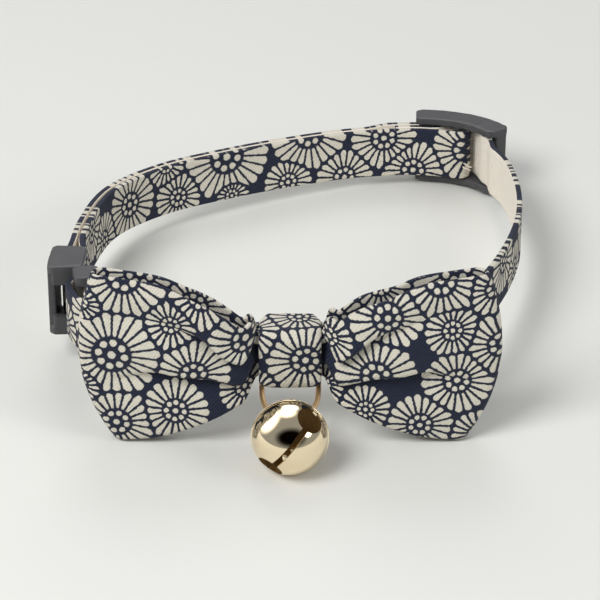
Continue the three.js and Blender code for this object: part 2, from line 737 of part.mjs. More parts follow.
const bell = new THREE.Group();
bell.position.set(0, bellY, bellRadius);
const shell = named('bell', bellGeometry(), gold);
shell.rotation.x = Math.PI / 2 - BELL_NOD;
const clapper = named('bell_clapper', new THREE.SphereGeometry(BELL_CLAPPER / 2, 14, 10), gold);
clapper.position.z = BELL_CLAPPER / 2 + BELL_WALL + CLEARANCE - bellRadius;
bell.add(shell, clapper);
bell.position.z -= new THREE.Box3().setFromObject(bell, true).min.z;

const group = new THREE.Group();
group.add(collar, ring, bell);
group.updateMatrixWorld(true);
const box = new THREE.Box3().setFromObject(group, true);
const middle = box.getCenter(new THREE.Vector3());
group.position.set(-middle.x, -middle.y, -box.min.z);
group.updateMatrixWorld(true);

export default group;
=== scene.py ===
"""The looks of the pet bow tie collar: printed cloth, moulded hardware and a plated bell,
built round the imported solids. Sizes in the tables are millimetres in the collar's flat
frame, where the strap stands on edge round z = 0 and the knot's front is at y = 0."""

import bisect
import math

import bmesh
import bpy
from mathutils import Matrix, Vector


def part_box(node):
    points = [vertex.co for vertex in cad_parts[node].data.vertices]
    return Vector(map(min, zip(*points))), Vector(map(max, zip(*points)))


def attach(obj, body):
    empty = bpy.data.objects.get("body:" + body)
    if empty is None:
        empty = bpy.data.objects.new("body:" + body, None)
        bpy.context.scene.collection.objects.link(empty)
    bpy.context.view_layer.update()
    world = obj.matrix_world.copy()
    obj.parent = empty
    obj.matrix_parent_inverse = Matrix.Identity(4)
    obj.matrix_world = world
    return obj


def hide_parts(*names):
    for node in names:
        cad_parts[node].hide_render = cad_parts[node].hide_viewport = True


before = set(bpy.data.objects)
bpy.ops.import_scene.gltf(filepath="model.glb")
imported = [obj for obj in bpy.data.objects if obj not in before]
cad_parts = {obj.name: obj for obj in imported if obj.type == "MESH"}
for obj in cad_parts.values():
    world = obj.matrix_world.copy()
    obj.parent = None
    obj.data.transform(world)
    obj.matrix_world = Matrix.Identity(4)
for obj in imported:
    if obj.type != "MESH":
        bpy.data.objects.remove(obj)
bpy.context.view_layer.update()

bl_info = {
    "name": "Bow tie collar",
    "version": (1, 0, 0),
    "blender": (4, 5, 0),
    "location": "3D View > Sidebar > Collar",
    "description": "Builds a pet's bow tie collar with its bell, slider and buckle",
    "category": "Object",
}

# Metres in a millimetre
MM = 0.001

# How the flat collar lies on the floor: turned about X, raised, and moved to the part's origin
LIE_TILT = math.asin(0.08613)
LIE_RAISE = 13.844
LIE_MOVE = (-0.1916, -36.4796)

# Plan of the strap's inner run: shares of half the loop's width and of its depth
LOOP_PLAN = [
    (-0.05, 0), (0.3, 0.004), (0.54, 0.055), (0.755, 0.185), (0.895, 0.345),
    (0.985, 0.53), (0.997, 0.7), (0.945, 0.855), (0.81, 0.962), (0.595, 1),
    (0.266, 0.985), (-0.05, 0.932), (-0.366, 0.86), (-0.65, 0.775), (-0.866, 0.655),
    (-0.96, 0.49), (-0.988, 0.33), (-0.992, 0.18), (-0.875, 0.055), (-0.56, 0.002),
]
LOOP_HALF_WIDTH = 38
LOOP_DEPTH = 76
LOOP_ASIDE = 1.9
STRAP_FRONT = 6.25

# Folds of a bow panel from the knot (out 0) to the wing's end (out 1), in shares of the
# bow's height: lengths of the lobes and tucks, and how far each fold is closed
FOLD_COLUMNS = (
    "out", "low", "low_tuck", "low_turn", "middle", "high_tuck", "high_turn", "high",
    "drop", "puff", "spread",
)
BOW_FOLDS = [dict(zip(FOLD_COLUMNS, row)) for row in (
    (0, 0.045, 0.012, 0.3, 0.045, 0.012, 0.3, 0.03, 0.11, 0, 0),
    (0.04, 0.08, 0.03, 0.75, 0.11, 0.03, 0.75, 0.14, 0.155, 0.055, 0.008),
    (0.08, 0.1, 0.075, 1, 0.13, 0.07, 1, 0.225, 0.22, 0.1, 0.022),
    (0.18, 0.17, 0.065, 1, 0.175, 0.035, 1, 0.225, 0.262, 0.125, 0.028),
    (0.32, 0.26, 0.045, 1, 0.218, 0.012, 0.6, 0.168, 0.314, 0.135, 0.018),
    (0.46, 0.312, 0.032, 0.85, 0.252, 0.01, 0.3, 0.155, 0.366, 0.135, 0.008),
    (0.62, 0.36, 0.015, 0.5, 0.29, 0.009, 0.1, 0.165, 0.414, 0.13, 0),
    (0.78, 0.375, 0.008, 0.2, 0.32, 0.008, 0, 0.2, 0.448, 0.12, 0),
    (1, 0.38, 0.006, 0, 0.33, 0.006, 0, 0.25, 0.466, 0.108, 0),
)]
BOW_HEIGHT = 29
BOW_REACH = 33.2
WING_WIDEST = 0.55
LOWER_CORNER = 0.16
UPPER_CORNER = 0.075
FOLD_PITCH = 1.2
END_RADIUS = 1.5
PINCH_HALF = 5.4
# Places of the panels' middles under the knot
BOW_FRONT = 2.45
BOW_BACK = 4.65
# Each lobe has its own part of the print, this far from the next one
LOBE_APART = 100
# The left wing's upper edge lies lower beside the knot than the right wing's
LEFT_LOWER = 1.3

# The knot band: its half widths before and behind, its half height, its front and back,
# and its cloth, then half the strap's width in it
KNOT_HALF = 5
KNOT_HALF_BEHIND = 3.75
KNOT_TOP = 4.8
KNOT_FRONT = 0.5
KNOT_BACK = 7.6
KNOT_CLOTH = 0.8
STRAP_HALF_IN_KNOT = 4

# Size of the moulded pieces' mesh
GRAIN = 0.15

# The bell's lean and turn, and its slit's reach and holes' places, in degrees
BELL_LEAN = 76
BELL_TURN = 51
SLIT_REACH = 42
HOLE_PLACE = 60

# Half the dark line beside a petal, and the spacing of the cloth's ridges. Twill ridges
# are about 0.35 mm apart on the real cloth, and wider here so that the picture shows them.
HALF_LINE = 0.21
TWILL_PITCH = 0.42
WEFT_PITCH = 0.36

# A flower's disc with its ring of dots round one in the middle, in shares of its radius
DISC = 0.42
DOT_COUNT = 8.0
DOT_RING = 0.265
DOT = 0.074
MIDDLE_DOT = 0.082

# The photograph's camera: what it looks at, how far down, from how far, and its lens
VIEW_TARGET = (1.38, -11.47, 10.0)
VIEW_DOWN = 32
VIEW_AWAY = 450
VIEW_LENS = 162

# Printed flowers as centre across, centre up and radius. On the bow the last word names
# the lobes that show the flower: l, m and h for the low, middle and high one.
BOW_FLOWERS = [
    (-18.2, -7.6, 5.4, "l"), (-27.6, -9.9, 6.2, "l"), (-7.4, -4.2, 3.9, "l"),
    (-28.0, 2.4, 7.8, "lmh"), (-18.6, 8.0, 4.3, "mh"), (-15.2, -0.4, 5.8, "m"),
    (-7.2, 6.4, 5.6, "h"), (-25.8, 15.9, 7.0, "h"), (-14.0, 12.8, 4.9, "h"),
    (-33.4, -3.6, 4.2, "lm"), (-32.6, 11.0, 3.6, "h"),
    (15.2, 9.6, 6.0, "mh"), (23.4, 15.2, 6.4, "h"), (25.4, 6.7, 4.4, "mh"),
    (33.2, 3.8, 5.8, "lmh"), (13.6, -0.8, 6.4, "m"), (26.4, -2.4, 5.7, "lm"),
    (6.4, 5.2, 3.6, "h"), (20.6, -10.2, 5.4, "l"), (12.0, -7.2, 3.9, "l"),
    (5.6, -4.4, 3.0, "l"), (29.8, -12.4, 4.4, "l"), (32.0, 13.4, 4.6, "h"),
]
STRAP_FLOWERS = [
    (167.3, 0.2, 6.0), (155.9, -1.9, 4.9), (145.8, 3.9, 8.3), (158.3, 5.0, 4.1),
    (133.6, -3.4, 4.7), (129.4, 5.6, 7.4), (122.5, -4.1, 5.5), (115.0, 3.1, 6.2),
    (109.4, -3.5, 6.0), (99.6, 1.2, 6.2), (177.0, -2.9, 5.2), (184.4, 2.6, 5.6),
    (144.9, -4.0, 3.6), (192.0, -2.6, 5.2), (200.5, 3.0, 5.8), (209.0, -2.4, 4.6),
    (90.0, -3.0, 5.0), (81.0, 2.8, 6.0), (72.5, -3.2, 4.6), (64.5, 2.6, 5.4),
    (56.0, -2.4, 5.0), (47.5, 3.2, 5.8), (39.5, -2.8, 4.8), (31.5, 2.8, 5.6),
    (218.0, 2.6, 5.6), (227.0, -2.6, 5.0), (236.0, 2.8, 5.6), (22.5, -2.6, 5.0),
]
KNOT_FLOWERS = [
    (2.4, 0.6, 6.2), (-6.4, 5.4, 5.0), (-5.4, -4.8, 3.6), (5.6, -6.2, 3.6), (1.4, 9.6, 4.8),
]


def linear(code):
    """An sRGB hex colour as linear RGBA."""
    parts = [int(code[place:place + 2], 16) / 255 for place in (1, 3, 5)]
    return tuple(
        part / 12.92 if part <= 0.04045 else ((part + 0.055) / 1.055) ** 2.4 for part in parts
    ) + (1.0,)


def lerp(low, high, share):
    return low + (high - low) * share


def line_length(places):
    return sum((after - before).length for before, after in zip(places, places[1:]))


def smoothstep(value, low, high):
    share = min(1, max(0, (value - low) / (high - low)))
    return share * share * (3 - 2 * share)


def laid(across, back, up):
    """A place in the flat frame, in millimetres, as a place in the part's frame, in metres."""
    cosine, sine = math.cos(LIE_TILT), math.sin(LIE_TILT)
    return Vector((
        (across + LIE_MOVE[0]) * MM,
        (back * cosine + up * sine + LIE_MOVE[1]) * MM,
        (up * cosine - back * sine + LIE_RAISE) * MM,
    ))


class Loop:
    """The strap's closed plan line: a centripetal spline measured by its length."""

    def __init__(self, steps):
        rows = [
            Vector((LOOP_ASIDE + across * LOOP_HALF_WIDTH, STRAP_FRONT + back * LOOP_DEPTH))
            for across, back in LOOP_PLAN
        ]
        count = len(rows)
        self.points = []
        for index in range(count):
            span = [rows[(index + place) % count] for place in (-1, 0, 1, 2)]
            self.points += [self.between(span, step / steps) for step in range(steps)]
        self.points.append(self.points[0].copy())
        self.marks = [0.0]
        for before, after in zip(self.points, self.points[1:]):
            self.marks.append(self.marks[-1] + (after - before).length)
        self.length = self.marks[-1]

    @staticmethod
    def between(span, share):
        before, start, end, after = span
        gaps = [math.sqrt((b - a).length) for a, b in zip(span, span[1:])]
        leave = ((start - before) / gaps[0] - (end - before) / (gaps[0] + gaps[1])
                 + (end - start) / gaps[1]) * gaps[1]
        arrive = ((end - start) / gaps[1] - (after - start) / (gaps[1] + gaps[2])
                  + (after - end) / gaps[2]) * gaps[1]
        square = 3 * (end - start) - 2 * leave - arrive
        cube = 2 * (start - end) + leave + arrive
        return start + leave * share + square * share ** 2 + cube * share ** 3

    def plain(self, arc):
        arc %= self.length
        high = min(bisect.bisect_right(self.marks, arc), len(self.marks) - 1)
        low = high - 1
        share = (arc - self.marks[low]) / (self.marks[high] - self.marks[low])
        return self.points[low].lerp(self.points[high], share)

    def at(self, arc, out):
        along = (self.plain(arc + 0.4) - self.plain(arc - 0.4)).normalized()
        return self.plain(arc) + out * Vector((along.y, -along.x))


LOOP = Loop(60)

# Places on the loop that the strap goes round, as arc and offset outward
# PITCH is from one layer's middle to the next, and WRAP is a turn's radius round a bar
PITCH = 1.4
WRAP = 1.65
SLIDER_ARC = 0.406 * LOOP.length
SLIDER_HALF = 7.3
SLIDER_END = 1.5
SOCKET_ARC = 0.797 * LOOP.length
SOCKET_OUT = 0.15
SOCKET_FRONT = SOCKET_ARC + 6.3
PLUG_ARC = SOCKET_FRONT + 2.5
PLUG_OUT = -0.9
SEWN_TAIL = 11


def strap_run():
    """The strap's middle line as (arc, out), from its sewn end at the plug to the slider's."""
    run = []

    def stretch(rows):
        for (arc, out), (next_arc, next_out) in zip(rows, rows[1:]):
            size = 0.7 if abs(next_out - out) > 0.01 else 1.5
            steps = max(1, round(abs(next_arc - arc) / size))
            for step in range(steps):
                share = step / steps
                risen = lerp(out, next_out, smoothstep(share, 0, 1))
                run.append((lerp(arc, next_arc, share), risen))

    def turn(arc, out, side, toward):
        for step in range(15):
            angle = math.pi * step / 14
            run.append((arc + toward * WRAP * math.sin(angle), out + side * WRAP * math.cos(angle)))

    lap = LOOP.length
    slider, socket = lap + SLIDER_ARC, lap + SOCKET_ARC
    over_bar, over_tail = 2 * WRAP + PITCH, 2 * PITCH
    stretch([(PLUG_ARC + SEWN_TAIL * 0.6, PLUG_OUT - WRAP + 0.3), (PLUG_ARC, PLUG_OUT - WRAP)])
    turn(PLUG_ARC, PLUG_OUT, -1, -1)
    stretch([
        (PLUG_ARC + 0.5, PLUG_OUT + WRAP),
        (PLUG_ARC + 12, 0),
        (slider - SLIDER_HALF - 3, 0),
        (slider - SLIDER_HALF + SLIDER_END, WRAP),
        (slider - 0.6, over_bar),
        (slider + 0.3, over_bar),
        (slider + SLIDER_HALF - SLIDER_END - 1, over_tail),
        (slider + SEWN_TAIL + 0.5, over_tail),
        (slider + SEWN_TAIL + 6, PITCH),
        (socket - 9, PITCH),
        (socket - 0.5, SOCKET_OUT + WRAP),
    ])
    turn(socket, SOCKET_OUT, 1, 1)
    stretch([(socket - 0.5, SOCKET_OUT - WRAP), (socket - 9, 0), (slider + 0.5, 0)])
    turn(slider, WRAP, -1, -1)
    stretch([
        (slider + 0.4, 2 * WRAP),
        (slider + SLIDER_HALF - SLIDER_END - 1, PITCH),
        (slider + SEWN_TAIL, PITCH),
        (slider + SEWN_TAIL + 0.3, PITCH),
    ])
    return run


def fold_value(column, out):
    """A value of the fold table at a place, on a smooth line through its rows."""
    rows = BOW_FOLDS
    index = 0
    while index < len(rows) - 2 and out > rows[index + 1]["out"]:
        index += 1

    def slope(row):
        before, after = rows[max(0, row - 1)], rows[min(len(rows) - 1, row + 1)]
        return (after[column] - before[column]) / (after["out"] - before["out"])

    low, high = rows[index], rows[index + 1]
    span = high["out"] - low["out"]
    share = min(1, max(0, (out - low["out"]) / span))
    rest = 1 - share
    value = (low[column] * (1 + 2 * share) * rest ** 2 + slope(index) * span * share * rest ** 2
             + high[column] * share ** 2 * (3 - 2 * share)
             - slope(index + 1) * span * share ** 2 * rest)
    return min(max(low[column], high[column]), max(min(low[column], high[column]), value))


def panel_section(out):
    """The middle line of a bow panel at one place, as (forward, up, share, lobe, swell)."""
    def size(column):
        return fold_value(column, out) * BOW_HEIGHT

    radius = FOLD_PITCH / 2
    low_turn, high_turn = fold_value("low_turn", out), fold_value("high_turn", out)
    points = [(0.0, 0.0, 0.0, 0, 0.0)]
    heading = 0.0

    def walk(length, count, turn, lobe, swells=False):
        nonlocal heading
        for step in range(count):
            forward, up, arc = points[-1][:3]
            heading += turn / count / 2
            piece = length / count
            swell = math.sin(math.pi * (step + 1) / count) if swells else 0.0
            points.append((
                forward - math.sin(heading) * piece, up + math.cos(heading) * piece,
                arc + piece, lobe, swell,
            ))
            heading += turn / count / 2

    def fold(tuck, closed, lobe):
        corner = math.pi * radius * (0.15 + 0.85 * closed)
        walk(corner, 6, -math.pi * closed, lobe)
        walk(tuck, 2, 0, lobe + 1)
        walk(corner, 6, math.pi * closed, lobe + 1)

    walk(size("low") + low_turn * (size("low_tuck") + radius), 10, 0, 0, True)
    fold(size("low_tuck"), low_turn, 0)
    walk(size("middle") + high_turn * (size("high_tuck") + radius) - low_turn * radius,
         10, 0, 1, True)
    fold(size("high_tuck"), high_turn, 1)
    walk(size("high") - high_turn * radius, 10, 0, 2, True)
    end_forward, end_up, total = points[-1][:3]
    lean = math.atan2(end_forward, end_up)
    turned = [(
        forward * math.cos(lean) - up * math.sin(lean),
        up * math.cos(lean) + forward * math.sin(lean) - size("drop"),
        arc / total, lobe, swell,
    ) for forward, up, arc, lobe, swell in points]
    middle = (max(row[0] for row in turned) + min(row[0] for row in turned)) / 2
    return [(row[0] - middle, *row[1:]) for row in turned]


def wing_reach(height):
    below = height < WING_WIDEST
    away = (height - WING_WIDEST) / (WING_WIDEST if below else 1 - WING_WIDEST)
    return BOW_REACH * (1 - (LOWER_CORNER if below else UPPER_CORNER) * away * away)


# Meshes
def placed(name, data):
    """A new object in the scene."""
    thing = bpy.data.objects.new(name, data)
    bpy.context.scene.collection.objects.link(thing)
    return thing


def cloth_grid(name, columns, rows, place, print_place, closed=False):
    """A sheet of cloth: a grid whose points are moved to their places, with a UV map in
    millimetres for the print."""
    mesh = bpy.data.meshes.new(name)
    sheet = bmesh.new()
    bmesh.ops.create_grid(sheet, x_segments=columns, y_segments=rows, size=0.5)
    spots = {
        point: (round((point.co.x + 0.5) * columns), round((point.co.y + 0.5) * rows))
        for point in sheet.verts
    }
    layer = sheet.loops.layers.uv.new("Print")
    for face in sheet.faces:
        first = min(spots[loop.vert][0] for loop in face.loops)
        lowest = min(spots[loop.vert][1] for loop in face.loops)
        for loop in face.loops:
            column, row = spots[loop.vert]
            loop[layer].uv = print_place(column, row, first, lowest)
        face.smooth = True
    for point, (column, row) in spots.items():
        point.co = place(column, row)
    if closed:
        bmesh.ops.remove_doubles(sheet, verts=sheet.verts, dist=1e-6)
    sheet.to_mesh(mesh)
    sheet.free()
    return placed(name, mesh)


def turn_print_out(cloth):
    """Turns the face of the foremost cloth forward, so that the print is outside."""
    front = min(cloth.data.polygons, key=lambda face: face.center.y)
    if front.normal.y > 0:
        cloth.data.flip_normals()


def node_copy(name, node):
    """A piece that starts as a merged copy of a solid's mesh, with its flat faces whole."""
    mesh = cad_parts[node].data.copy()
    mesh.name = name
    mesh.materials.clear()
    shape = bmesh.new()
    shape.from_mesh(mesh)
    shape.transform(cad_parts[node].matrix_world)
    bmesh.ops.remove_doubles(shape, verts=shape.verts, dist=1e-6)
    bmesh.ops.dissolve_limit(
        shape, angle_limit=math.radians(1), verts=shape.verts, edges=shape.edges
    )
    shape.to_mesh(mesh)
    shape.free()
    return placed(name, mesh)


def solid_piece(name, shape, smooth=True):
    mesh = bpy.data.meshes.new(name)
    for face in shape.faces:
        face.smooth = smooth
    shape.to_mesh(mesh)
    shape.free()
    return placed(name, mesh)


def wire_ring(shape, radius, wire, turn, sides, steps):
    """A closed ring of wire round the origin, added to a bmesh and turned by a matrix."""
    old_points, old_faces = set(shape.verts), set(shape.faces)
    made = bmesh.ops.create_circle(
        shape, segments=sides, radius=wire,
        matrix=Matrix.Translation((radius, 0, 0)) @ Matrix.Rotation(math.pi / 2, 4, "X"),
    )
    bmesh.ops.spin(
        shape, geom=made["verts"] + list({e for v in made["verts"] for e in v.link_edges}),
        cent=(0, 0, 0), axis=(0, 0, 1), angle=2 * math.pi, steps=steps, use_merge=True,
    )
    faces = [face for face in shape.faces if face not in old_faces]
    points = [point for point in shape.verts if point not in old_points]
    bmesh.ops.recalc_face_normals(shape, faces=faces)
    bmesh.ops.transform(shape, matrix=turn, verts=points)


def modify(piece, kind, **values):
    step = piece.modifiers.new(kind.title(), kind)
    for key, value in values.items():
        setattr(step, key, value)


def settle(piece):
    """Applies a piece's modifiers to its mesh."""
    graph = bpy.context.evaluated_depsgraph_get()
    mesh = bpy.data.meshes.new_from_object(piece.evaluated_get(graph))
    old = piece.data
    piece.modifiers.clear()
    piece.data = mesh
    bpy.data.meshes.remove(old)


def keep(piece, node, slot, *materials):
    """Gives a piece its materials and its body, and hides the node that it stands for."""
    for material in materials:
        piece.data.materials.append(material)
    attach(piece, "root")
    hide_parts(node)


# Materials
def add(tree, kind, links=None, **settings):
    """Adds a shader node with its settings, and sets or links its inputs."""
    node = tree.nodes.new("ShaderNode" + kind)
    for key, value in settings.items():
        setattr(node, key, value)
    for key, value in (links or {}).items():
        if isinstance(value, bpy.types.NodeSocket):
            tree.links.new(value, node.inputs[key])
        else:
            node.inputs[key].default_value = value
    return node


def sums(tree, operation, first, second=0.0, third=0.0):
    return add(tree, "Math", {0: first, 1: second, 2: third}, operation=operation).outputs[0]


def vectors(tree, operation, first, second):
    node = add(tree, "VectorMath", {0: first, 1: second}, operation=operation)
    return node.outputs["Value" if operation in ("DISTANCE", "DOT_PRODUCT") else "Vector"]


def mapped(tree, value, low, high, first, last, kind="LINEAR"):
    links = {0: value, 1: low, 2: high, 3: first, 4: last}
    return add(tree, "MapRange", links, interpolation_type=kind).outputs[0]


def mixed(tree, share, first, second):
    """A blend of two colours."""
    return add(tree, "Mix", {0: share, 6: first, 7: second}, data_type="RGBA").outputs[2]


def noise(tree, place, scale, detail=2.0, roughness=0.5):
    links = {"Vector": place, "Scale": scale, "Detail": detail, "Roughness": roughness}
    return add(tree, "TexNoise", links).outputs


def flower_print(name, flowers):
    """A node group that prints flowers: narrow petals with round tips round a disc of dots.
    Its input is the place on the cloth in millimetres, and its output is 1 on the light
    print and 0 on the ground."""
    tree = bpy.data.node_groups.new(name, "ShaderNodeTree")
    tree.interface.new_socket("Place", in_out="INPUT", socket_type="NodeSocketVector")
    tree.interface.new_socket("Print", in_out="OUTPUT", socket_type="NodeSocketFloat")
    place = tree.nodes.new("NodeGroupInput").outputs[0]

    def calc(operation, *values):
        return sums(tree, operation, *values)

    # The nearest flower, and the distances to it and to the second, in shares of a radius
    best, second, nearest = None, 9.0, None
    for flower in flowers:
        away = vectors(tree, "DISTANCE", place, (*flower[:2], 0))
        share = calc("MULTIPLY", away, 1 / flower[2])
        if best is None:
            best, nearest = share, flower
            continue
        closer = calc("LESS_THAN", share, best)
        links = {0: closer, 4: nearest, 5: flower}
        nearest = add(tree, "Mix", links, data_type="VECTOR").outputs[1]
        second = calc("MINIMUM", second, calc("MAXIMUM", share, best))
        best = calc("MINIMUM", share, best)
    centre = add(tree, "SeparateXYZ", {0: nearest}).outputs
    spot = add(tree, "SeparateXYZ", {0: place}).outputs
    radius = centre[2]
    up, across = (calc("SUBTRACT", spot[axis], centre[axis]) for axis in (1, 0))
    turn = calc("MULTIPLY_ADD", calc("ARCTAN2", up, across), 1 / (2 * math.pi), 4.0)
    turn = calc("MULTIPLY_ADD", centre[0], 0.037, turn)
    petals = calc("ROUND", calc("MULTIPLY_ADD", radius, 1.5, 12.0))

    def sideways(count, at):
        """How far the place is from the middle of its petal or dot, across."""
        inside = calc("FRACT", calc("MULTIPLY", turn, count))
        off = calc("ABSOLUTE", calc("SUBTRACT", inside, 0.5))
        return calc("MULTIPLY", calc("DIVIDE", off, count), calc("MULTIPLY", at, 2 * math.pi))

    def reach(first, second):
        """The distance whose two sides are given."""
        return calc("SQRT", calc("MULTIPLY_ADD", first, first, calc("MULTIPLY", second, second)))

    def edge(distance, soft):
        return mapped(tree, distance, -soft, soft, 0.0, 1.0, "SMOOTHSTEP")

    # A petal is as wide as its share of the circle, less half of the dark line beside it,
    # and ends in a half circle at the flower's rim or where the next flower begins
    line = calc("DIVIDE", HALF_LINE, radius)
    width = calc("SUBTRACT", calc("MULTIPLY", best, calc("DIVIDE", math.pi, petals)), line)
    to_next = calc("SUBTRACT", calc("MULTIPLY", calc("SUBTRACT", second, best), 0.5), line)
    to_rim = calc("MINIMUM", calc("SUBTRACT", 1.0, best), to_next)
    beyond = calc("MAXIMUM", calc("SUBTRACT", width, to_rim), 0.0)
    petal = edge(calc("SUBTRACT", width, reach(sideways(petals, best), beyond)), 0.01)
    petal = calc("MULTIPLY", petal, edge(calc("SUBTRACT", best, DISC), 0.02))
    ring = calc("SUBTRACT", best, DOT_RING)
    dot = edge(calc("SUBTRACT", DOT, reach(ring, sideways(DOT_COUNT, DOT_RING))), 0.012)
    middle = edge(calc("SUBTRACT", MIDDLE_DOT, best), 0.012)
    shown = calc("MAXIMUM", petal, calc("MAXIMUM", dot, middle))
    tree.links.new(shown, tree.nodes.new("NodeGroupOutput").inputs[0])
    return tree


def new_material(name):
    material = bpy.data.materials.new(name)
    material.use_nodes = True
    material.node_tree.nodes.clear()
    return material, material.node_tree


def finish_material(tree, base, height, depth, **shader):
    """The closing shader of a material, with its height as a bump."""
    bump = add(tree, "Bump", {"Height": height, "Strength": 1.0, "Distance": depth})
    values = {"Base Color": base, "Normal": bump.outputs[0]}
    values.update({key.replace("_", " "): value for key, value in shader.items()})
    closing = add(tree, "BsdfPrincipled", values)
    add(tree, "OutputMaterial", {0: closing.outputs[0]})


def thread_lines(tree, place, along, up, spacing):
    """Ridges of thread as 0 to 1, with a real spacing in millimetres along a direction."""
    scale = 2 * math.pi / spacing / math.hypot(along, up)
    run = vectors(tree, "DOT_PRODUCT", place, (along * scale, up * scale, 0))
    return sums(tree, "MULTIPLY_ADD", sums(tree, "SINE", run), 0.5, 0.5)


def printed_cotton(name, flowers, colours):
    """Cotton twill with a resist print: the ground is dyed navy, and the undyed flowers
    keep the warm white of the cotton. The slanting ridges of the weave catch the light in
    the bump, and the colour adds a painted highlight on the ridges and painted shade between
    them. The loose fibres give the edges a soft sheen."""
    material, tree = new_material(name)
    place = add(tree, "UVMap", uv_map="Print").outputs[0]
    # Fibres break up the print's edge by a few hundredths of a millimetre
    shift = vectors(tree, "SUBTRACT", noise(tree, place, 2.2, 3.0)["Color"], (0.5, 0.5, 0.5))
    shift = vectors(tree, "MULTIPLY", shift, (0.34, 0.34, 0))
    group = add(tree, "Group", node_tree=flower_print(name + " flowers", flowers))
    tree.links.new(vectors(tree, "ADD", place, shift), group.inputs[0])
    ridge = thread_lines(tree, place, 1.0, -0.8, TWILL_PITCH)
    weft = thread_lines(tree, place, 0.05, 1.0, WEFT_PITCH)
    weave = sums(tree, "MULTIPLY_ADD", ridge, 0.7, sums(tree, "MULTIPLY", weft, 0.3))
    uneven = noise(tree, place, 0.9, 4.0, 0.6)[0]
    light = mixed(tree, uneven, colours["light"], colours["light_worn"])
    # Painted light at the threads: the ground gets a painted highlight on the ridges, and the print
    # gets painted shade between them
    ground = mixed(tree, weave, colours["ground"], colours["ground_ridge"])
    between = sums(tree, "MULTIPLY_ADD", weave, -0.4, 0.4)
    light = mixed(tree, between, light, colours["light_shade"])
    base = mixed(tree, group.outputs[0], ground, light)
    height = sums(tree, "MULTIPLY_ADD", uneven, 0.5, weave)
    finish_material(
        tree, base, height, 0.00007, Roughness=0.86, Sheen_Weight=0.05, Sheen_Roughness=0.5,
        Specular_IOR_Level=0.25,
    )
    return material


def plain_webbing(name, colours):
    """The back of the strap: undyed cotton with a close plain weave, warm white and matt."""
    material, tree = new_material(name)
    place = add(tree, "UVMap", uv_map="Print").outputs[0]
    warp = thread_lines(tree, place, 0.0, 1.0, 0.6)
    weft = thread_lines(tree, place, 1.0, 0.0, 0.5)
    weave = sums(tree, "MULTIPLY", warp, weft)
    uneven = noise(tree, place, 1.3, 4.0)[0]
    # Painted shade: the back is darker between its threads
    between = sums(tree, "MULTIPLY_ADD", weave, -0.5, 0.6)
    base = mixed(tree, between, colours["webbing"], colours["webbing_shade"])
    height = sums(tree, "MULTIPLY_ADD", uneven, 0.4, weave)
    finish_material(
        tree, base, height, 0.00008, Roughness=0.9, Sheen_Weight=0.15, Specular_IOR_Level=0.2
    )
    return material


def moulded_plastic(name, colours):
    """Acetal, injection moulded and dyed dark grey: a fine spark-eroded mould texture
    makes its gloss soft, and it is a little lighter in random cloudy patches."""
    material, tree = new_material(name)
    place = add(tree, "TexCoord").outputs["Object"]
    # Grain of the mould is 0.15 mm
    grain = noise(tree, place, 6500.0)[0]
    cloud = noise(tree, place, 420.0, 4.0)[0]
    base = mixed(tree, cloud, colours["plastic"], colours["plastic_worn"])
    rough = mapped(tree, cloud, 0.3, 0.7, 0.36, 0.5)
    finish_material(tree, base, grain, 0.00001, Roughness=rough, IOR=1.48)
    return material


def plated_metal(name, colour, worn, roughness, scale, metal=1.0):
    """Pressed brass with a bright champagne gold plating: a mirror with slight waves from
    the pressing, and faint marks from handling. Bare brass that has gone dull is less of
    a metal, since its tarnish hides the shine."""
    material, tree = new_material(name)
    place = add(tree, "TexCoord").outputs["Object"]
    waves = noise(tree, place, scale)[0]
    marks = noise(tree, place, 1800.0, 6.0, 0.7)[0]
    base = mixed(tree, marks, colour, worn)
    rough = mapped(tree, marks, 0.35, 0.75, roughness, roughness * 2.2)
    finish_material(tree, base, waves, 0.00002, Metallic=metal, Roughness=rough)
    return material


def twisted_thread(name, colours):
    """Sewing thread, spun polyester: off-white, with a light sheen along its twist."""
    material, tree = new_material(name)
    fibres = noise(tree, add(tree, "TexCoord").outputs["Object"], 7000.0)[0]
    base = mixed(tree, fibres, colours["thread"], colours["webbing_shade"])
    finish_material(tree, base, fibres, 0.00004, Roughness=0.7, Sheen_Weight=0.2)
    return material


# Settings that a user changes
def hue(name, text, code):
    return bpy.props.FloatVectorProperty(
        name=name, description=text, subtype="COLOR", size=4, min=0, max=1, default=linear(code)
    )


def measure(name, text, default, low, high):
    """A size that a user changes, given in millimetres."""
    return bpy.props.FloatProperty(
        name=name, description=text, default=default * MM, min=low * MM, max=high * MM,
        unit="LENGTH",
    )


def power(name, text, default):
    return bpy.props.FloatProperty(
        name=name, description=text, default=default, min=0, max=50, unit="POWER"
    )


class CollarCloth(bpy.types.PropertyGroup):
    strap_width: measure("Strap width", "Width of the strap", 9.2, 5, 15)
    strap_thickness: measure("Strap thickness", "Thickness of the strap's cloth", 1.0, 0.4, 1.1)
    bow_thickness: measure("Bow cloth", "Thickness of the bow's cloth", 0.75, 0.3, 1.0)
    swell: measure("Swell", "How far the cloth stands out between its folds", 0.55, 0, 1.0)
    ground: hue("Ground", "Dyed ground of the print", "#1d212f")
    # Painted highlight: the ground's colour on the ridges of its threads
    ground_ridge: hue("Ground ridge", "Dyed ground where the threads stand up", "#2b3144")
    light: hue("Print", "Undyed flowers of the print", "#e4dfd1")
    light_worn: hue("Print, uneven", "Undyed flowers where the dye has crept in", "#d6d0c1")
    # Painted shade: the print's colour between the ridges of its threads
    light_shade: hue("Print between threads", "Undyed cotton between the ridges", "#aea898")
    webbing: hue("Strap back", "Undyed back of the strap", "#fdf7ec")
    # Painted shade between the strap back's threads; the sewing thread also takes this colour as a
    # random fibre tone
    webbing_shade: hue(
        "Strap back between threads", "Back of the strap between its threads", "#e0d4c2"
    )
    thread: hue("Thread", "Sewing thread", "#e9e2d4")


